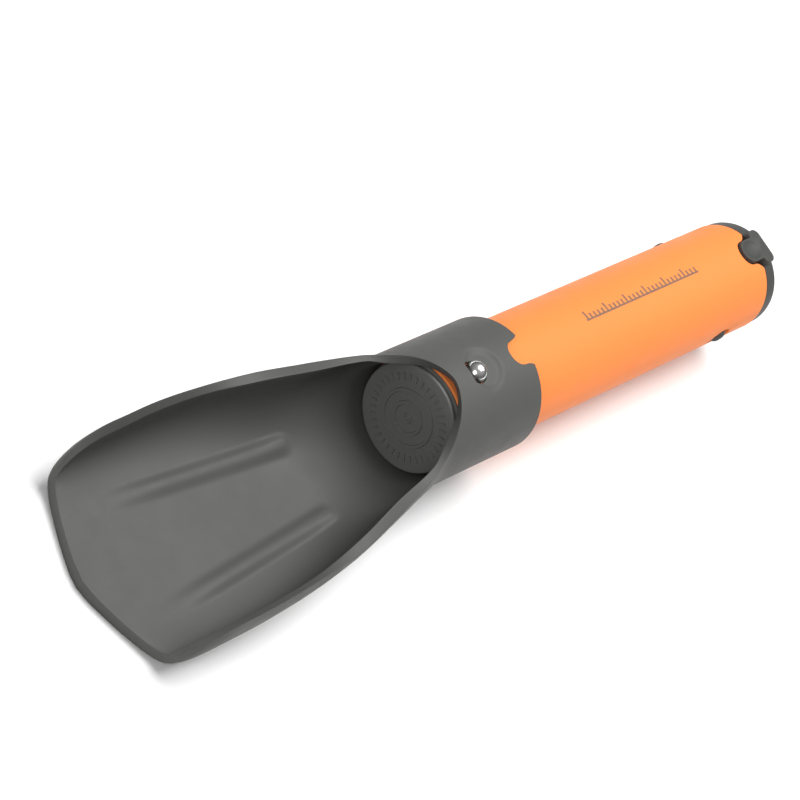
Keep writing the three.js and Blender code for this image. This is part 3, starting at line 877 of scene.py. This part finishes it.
def blade_stations():
    """The x of every station, from the sleeve's rear rim to the tip's corners."""
    sleeve = along(SLEEVE_REAR, MOUTH_TOP + MOUTH_GAP, SLEEVE_STEP)
    mouth = [MOUTH_TOP - (MOUTH_TOP - MOUTH_SIDE) * (i / MOUTH_STATIONS) ** (1 / MOUTH_POWER)
             for i in range(MOUTH_STATIONS + 1)]
    trough = along(MOUTH_SIDE, CORNER_START, TROUGH_STEP)[1:]
    corner = [mix(CORNER_START, CORNER_END, math.sin(math.pi / 2 * i / CORNER_STATIONS))
              for i in range(1, CORNER_STATIONS + 1)]
    return [*sleeve, *mouth, *trough, *corner]


STATIONS = blade_stations()
CLOSED = sum(1 for x in STATIONS if x >= MOUTH_TOP)
print(len(STATIONS), "stations,", CLOSED, "of them in the closed sleeve")

# %% [markdown]
# Now the grid is made and moved. Two number layers remember where each vertex lies on the path
# and along the blade. In the sleeve the two halves of the lip meet, so the faces between them are
# taken out before the mirror, and the two open ends are closed with bridge_loops.

# %% The half blade from a grid
MIRROR_MERGE_MM = 0.004


def half_blade():
    """The left half of the blade, open at its ends and along the middle."""
    bm = bmesh.new()
    columns = len(STATIONS) - 1
    bmesh.ops.create_grid(bm, x_segments=columns, y_segments=PATH_STEPS, size=1)
    path_of = bm.verts.layers.int.new("path")
    station_of = bm.verts.layers.int.new("station")
    sections = [placed_section(x) for x in STATIONS]
    for v in bm.verts:
        station = round((v.co.x + 1) / 2 * columns)
        step = round((v.co.y + 1) / 2 * PATH_STEPS)
        v[path_of] = step
        v[station_of] = station
        v.co = sections[station][step]
    inside = [f for f in bm.faces
              if all(v[station_of] < CLOSED and INNER_LIP <= v[path_of] <= PEAK_LIP for v in f.verts)]
    bmesh.ops.delete(bm, geom=inside, context="FACES")
    return bm


def close_ends(bm):
    """Bridges the rear rim and the front face, and fills what is left."""
    path_of = bm.verts.layers.int["path"]
    station_of = bm.verts.layers.int["station"]
    last = len(STATIONS) - 1

    def rim(station, low, high):
        return [e for e in bm.edges if e.is_boundary
                and all(v[station_of] == station and low <= v[path_of] <= high for v in e.verts)]

    for station, outer_start in ((0, PEAK_LIP), (last, OUTER_LIP)):
        edges = rim(station, 0, INNER_LIP) + rim(station, outer_start, PATH_STEPS)
        bmesh.ops.bridge_loops(bm, edges=edges)
    left = [e for e in bm.edges if e.is_boundary]
    if left:
        bmesh.ops.holes_fill(bm, edges=left, sides=0)
    print("open edges after the ends are closed:", sum(1 for e in bm.edges if not e.is_manifold))


# %% [markdown]
# Three cutters finish the sleeve: the rounded notch in its rear rim, the pin's hole, and one
# block for the two grooves inside, through which the latch nubs pass when the handle slides. The
# lip's three edges are bevelled first, because the section leaves them sharp.

# %% The whole blade
SLEEVE_HOLE_R = PIN_R + 0.35
HOLE_FRONT = PIN_X - SLEEVE_HOLE_R - 0.2
HOLE_CORNER_R = 1.2
REAR_NOTCH = (28.4, 3.9, SLEEVE_REAR, 4.8)
THROUGH_ROOF = (8, 26)
GROOVE_FRONT = 10.5
GROOVE_REACH = 17.7
GROOVE_REAR = SLEEVE_REAR + 5
GROOVE_HEIGHT = (-4.5, 4.5)
LIP_SOFTNESS = 0.3
LIP_BEND = 12


def pin_hole_outline():
    """Round behind the pin, and squared off in front of it, as a moulded hole often is."""
    rear = arc_points((PIN_X, 0), SLEEVE_HOLE_R, -90, 90, 24)
    centre = (HOLE_FRONT + HOLE_CORNER_R, SLEEVE_HOLE_R - HOLE_CORNER_R)
    corner = arc_points(centre, HOLE_CORNER_R, 90, 180, 6)
    return [*rear, *corner, *[(x, -y) for x, y in reversed(corner)]]


def trowel_blade():
    bm = half_blade()
    bmesh.ops.mirror(bm, geom=bm.verts[:] + bm.edges[:] + bm.faces[:], axis="Y",
                     merge_dist=MIRROR_MERGE_MM)
    close_ends(bm)
    face_out(bm)
    path_of = bm.verts.layers.int["path"]

    def on_lip(edge):
        steps = {v[path_of] for v in edge.verts}
        return len(steps) == 1 and steps <= {INNER_LIP, PEAK_LIP, OUTER_LIP}

    soften(bm, LIP_SOFTNESS, least_angle=LIP_BEND, where=on_lip)
    rear_notch = flat_outline(notch_outline(*REAR_NOTCH), *THROUGH_ROOF)
    pin_hole = flat_outline(pin_hole_outline(), *THROUGH_ROOF)
    right = [(GROOVE_FRONT, -GROOVE_REACH), (GROOVE_REAR, -GROOVE_REACH)]
    left = [(GROOVE_REAR, GROOVE_REACH), (GROOVE_FRONT, GROOVE_REACH)]
    grooves = flat_outline([*right, *left], *GROOVE_HEIGHT)
    return combine(bm, rear_notch, pin_hole, grooves)


finish_piece(trowel_blade(), "scoop_and_sleeve", "blade", blade_nylon,
             ["trowel_blade"])

# %% [markdown]
# ## The end cap
# The cap closes the tube's rear end, and a thumb lifts it off by its tab. It is a spun disc with
# a hollow spigot. The tab is a rounded pad in the tube's notch with a bar behind it, cut as one
# outline, extruded and softened, because a cylinder and a box would meet in hard corners. A
# shallow thumb dish is pressed into the pad with a flattened sphere.

# %% The cap
CAP_R = 16.2
CAP_FRONT = TUBE_REAR + 0.3
CAP_REAR = 163.6
CAP_SPIGOT_FRONT = 148.6
CAP_FLOOR = CAP_REAR - 2.4
RIM_EASE = 0.2
RIM_CURVE = ((1.4, 0), (0.7, 0.2), (0.2, 0.75), (0, 1.6))
PANEL_R = (10.8, 11.2)
PANEL_X = CAP_REAR - 0.35
TAB_HALF_WIDTH = 5.7
TAB_TOP = 17.4
PAD_FRONT = 150.2
PAD_R = 3.75
BAR_FRONT = 157.4
BAR_REAR = 162.4
BAR_ROUND = 2.2
TAB_SOFTNESS = 0.35
TAB_ROOT = SPIGOT_BORE_R + 1
THUMB_DISH = (5.4, 4.3, 2.4)
THUMB_DISH_AT = (PAD_FRONT + PAD_R + 0.9, 0, TAB_TOP + 1.6)


def tab_outline():
    """The pad's half circle, a neck, and the bar with its two rounded ears."""
    pad = arc_points((PAD_FRONT + PAD_R, 0), PAD_R, 90, 270, 24)
    ear = TAB_HALF_WIDTH - BAR_ROUND
    front_low = arc_points((BAR_FRONT + BAR_ROUND, -ear), BAR_ROUND, 180, 270, 8)
    rear_low = arc_points((BAR_REAR - BAR_ROUND, -ear), BAR_ROUND, 270, 360, 8)
    half = [(BAR_FRONT, -PAD_R), *front_low, *rear_low]
    other = [(x, -y) for x, y in reversed(half)]
    return [*pad, *half, *other]


def on_top(edge, top):
    """Whether both ends of an edge lie at the height top."""
    return all(v.co.z > top - 0.01 for v in edge.verts)


def end_cap():
    spigot = [(CAP_FLOOR, 0), (CAP_FLOOR, SPIGOT_BORE_R), (CAP_SPIGOT_FRONT, SPIGOT_BORE_R),
              (CAP_SPIGOT_FRONT, SPIGOT_R - SPIGOT_CHAMFER),
              (CAP_SPIGOT_FRONT + SPIGOT_CHAMFER, SPIGOT_R), (CAP_FRONT, SPIGOT_R)]
    front = [(CAP_FRONT, CAP_R - RIM_EASE), (CAP_FRONT + RIM_EASE, CAP_R)]
    rim = [(CAP_REAR - back, CAP_R - inwards) for back, inwards in RIM_CURVE]
    panel = [(CAP_REAR, PANEL_R[1]), (PANEL_X, PANEL_R[0]), (PANEL_X, 0)]
    body = revolve([*spigot, *front, *rim, *panel], steps=128, closed=False)
    tab = flat_outline(tab_outline(), TAB_ROOT, TAB_TOP)
    soften(tab, TAB_SOFTNESS, segments=4, where=lambda e: on_top(e, TAB_TOP))
    dish = bmesh.new()
    bmesh.ops.create_uvsphere(dish, u_segments=48, v_segments=24, radius=1)
    bmesh.ops.scale(dish, vec=THUMB_DISH, verts=dish.verts)
    bmesh.ops.translate(dish, vec=THUMB_DISH_AT, verts=dish.verts)
    return combine(body, combine(tab, dish), operation="UNION")


finish_piece(end_cap(), "cap_and_tab", "cap", cap_nylon, ["end_cap"])

# %% [markdown]
# The two latches are springy strips that lie against the tube's wall, and each has a rounded nub
# that stands out through the window in the tube. They swing by themselves, so each is its own
# piece. A short turn of a small profile makes the strip, which is curved like the wall it lies
# against, and an oval post with a domed top makes the nub.

# %% The latches
LATCH_FRONT = 133.6
LATCH_ROOT = 147.9
LATCH_R = (12.6, 14.3)
LATCH_HALF_HEIGHT = 4.0
NUB_X = 139.3
NUB_HALF = (2.9, 2.6)
NUB_TOP = 17.2
NUB_ROOT = LATCH_R[0] + 0.5
NUB_DOME = 1.9
LATCH_SOFTNESS = 0.3


def cap_latch(side):
    """The left latch for side 1, and the same one turned over for side -1."""
    bm = bmesh.new()
    profile = [(LATCH_FRONT, LATCH_R[0]), (LATCH_FRONT, LATCH_R[1]), (LATCH_ROOT, LATCH_R[1]),
               (LATCH_ROOT, LATCH_R[0])]
    chain = ring_chain(bm, profile, True)
    sweep = 2 * math.asin(LATCH_HALF_HEIGHT / LATCH_R[1])
    bmesh.ops.spin(bm, geom=chain, cent=(0, 0, 0), axis=X_AXIS, angle=sweep, steps=10)
    bmesh.ops.holes_fill(bm, edges=[e for e in bm.edges if e.is_boundary], sides=0)
    centred = Matrix.Rotation(-math.pi / 2 - sweep / 2, 4, "X")
    bmesh.ops.transform(bm, matrix=centred, verts=bm.verts)
    clean(bm)
    soften(bm, LATCH_SOFTNESS, segments=2)
    nub = flat_outline(arc_points((0, 0), 1, 0, 350, 35), NUB_ROOT, NUB_TOP)
    bmesh.ops.scale(nub, vec=(*NUB_HALF, 1), verts=nub.verts)
    soften(nub, NUB_DOME, segments=6, where=lambda e: on_top(e, NUB_TOP))
    level = Matrix.Translation((NUB_X, 0, 0)) @ Matrix.Rotation(-math.pi / 2, 4, "X")
    bmesh.ops.transform(nub, matrix=level, verts=nub.verts)
    arm = combine(bm, nub, operation="UNION")
    if side < 0:
        bmesh.ops.rotate(arm, cent=(0, 0, 0), matrix=Matrix.Rotation(math.pi, 3, "X"), verts=arm.verts)
    return arm


for side, word in ((1, "left"), (-1, "right")):
    finish_piece(cap_latch(side), f"latch_arm_{word}", f"latch_{word}", cap_nylon,
                 [f"cap_latch_{word}"])

# %% [markdown]
# ## The stage
# The shovel lies on plain pale paper, as in a product shot, and its sole rests on the floor. The
# floor is a wide grid with a faint mottle.

# %% Floor
FLOOR_HALF_METRES = 4.0
MOTTLE_PER_METRE = 3.0
PAPER = ((0.90, 0.90, 0.90, 1), (0.93, 0.93, 0.93, 1))


def studio_floor():
    bm = bmesh.new()
    bmesh.ops.create_grid(bm, x_segments=4, y_segments=4, size=FLOOR_HALF_METRES)
    floor = object_from(bm, "floor")
    material, tree, shader = new_material("floor_paper")
    mottle = remap(tree, noise(tree, MOTTLE_PER_METRE, detail=2.0), 0, 1)
    white = blend_colours(tree, mottle, *PAPER)
    tree.links.new(white, shader.inputs["Base Color"])
    shader.inputs["Roughness"].default_value = 0.9
    shader.inputs["Specular IOR Level"].default_value = 0.1
    floor.data.materials.append(material)


studio_floor()
print("floor", 2 * FLOOR_HALF_METRES, "m across")

# %% [markdown]
# Large soft lights suit satin plastic, which shows its form by broad, gentle shading. The main one
# is overhead and a little behind, and a weaker one fills the scoop from the tip. Around them the
# sky is bright above and dark at the horizon. An even sky would make the polished pin look flat
# and the dark plastic milky.

# %% Lights
AIM = Vector((0, 0, 0.02))
OVERHEAD = dict(place=Vector((0.5, 0.06, 1.38)), size=0.95, power=28)
FRONT_FILL = dict(place=Vector((-1.3, -0.1, 0.8)), size=0.7, power=8)
SKY_AT_HORIZON = 0.04
SKY_OVERHEAD = 0.36


def softbox(name, place, size, power):
    """A square area light that points at the shovel."""
    light = bpy.data.lights.new(name, "AREA")
    light.shape = "SQUARE"
    light.size = size
    light.energy = power
    lamp = bpy.data.objects.new(name, light)
    turn = (AIM - place).to_track_quat("-Z", "Y").to_matrix().to_4x4()
    lamp.matrix_world = Matrix.Translation(place) @ turn
    bpy.context.scene.collection.objects.link(lamp)


softbox("overhead", **OVERHEAD)
softbox("front_fill", **FRONT_FILL)


def studio_sky():
    """Bright overhead and dark at the horizon, so that rounded steel gets a light and a dark side."""
    world = bpy.data.worlds.new("studio")
    bpy.context.scene.world = world
    world.use_nodes = True
    tree = world.node_tree
    coords = tree.nodes.new("ShaderNodeTexCoord")
    split = tree.nodes.new("ShaderNodeSeparateXYZ")
    rise = tree.nodes.new("ShaderNodeMapRange")
    tree.links.new(coords.outputs["Generated"], split.inputs[0])
    tree.links.new(split.outputs[2], rise.inputs["Value"])
    rise.inputs["From Min"].default_value = 0.0
    rise.inputs["From Max"].default_value = 1.0
    rise.inputs["To Min"].default_value = SKY_AT_HORIZON
    rise.inputs["To Max"].default_value = SKY_OVERHEAD
    tree.links.new(rise.outputs["Result"], tree.nodes["Background"].inputs["Strength"])
    tree.nodes["Background"].inputs["Color"].default_value = (1.0, 1.0, 1.0, 1.0)


studio_sky()
bpy.context.scene.view_settings.view_transform = "Standard"
print("softboxes: overhead and front fill, under a sky that darkens to the horizon")

# %% [markdown]
# The camera looks down the shovel from beyond its tip, with a long lens and a strong roll, so
# that the blade lies lower left and the handle runs to the upper right. Three direction vectors
# make its matrix, because a roll is easy to get wrong with Euler angles.

# %% Camera
CAMERA_AT = Vector((-716.0, -135.4, 624.3))
AZIMUTH, ELEVATION, ROLL = (math.radians(a) for a in (-78.89, 40.49, 49.31))
LENS = 158.6


def product_camera():
    """A camera turned by an azimuth, an elevation and a roll about its own view."""
    forward = Vector((-math.sin(AZIMUTH) * math.cos(ELEVATION),
                      math.cos(AZIMUTH) * math.cos(ELEVATION), -math.sin(ELEVATION)))
    level = Vector((math.cos(AZIMUTH), math.sin(AZIMUTH), 0))
    above = level.cross(forward)
    right = level * math.cos(ROLL) + above * math.sin(ROLL)
    up = above * math.cos(ROLL) - level * math.sin(ROLL)
    data = bpy.data.cameras.new("product_camera")
    data.lens = LENS
    data.sensor_width = 36.0
    data.clip_start = 0.05
    camera = bpy.data.objects.new("product_camera", data)
    turn = Matrix((right, up, -forward)).transposed().to_4x4()
    camera.matrix_world = Matrix.Translation(TO_FRAME @ CAMERA_AT) @ turn
    bpy.context.scene.collection.objects.link(camera)
    return camera


bpy.context.scene.camera = product_camera()
print("camera at", [round(c, 3) for c in bpy.context.scene.camera.matrix_world.translation])
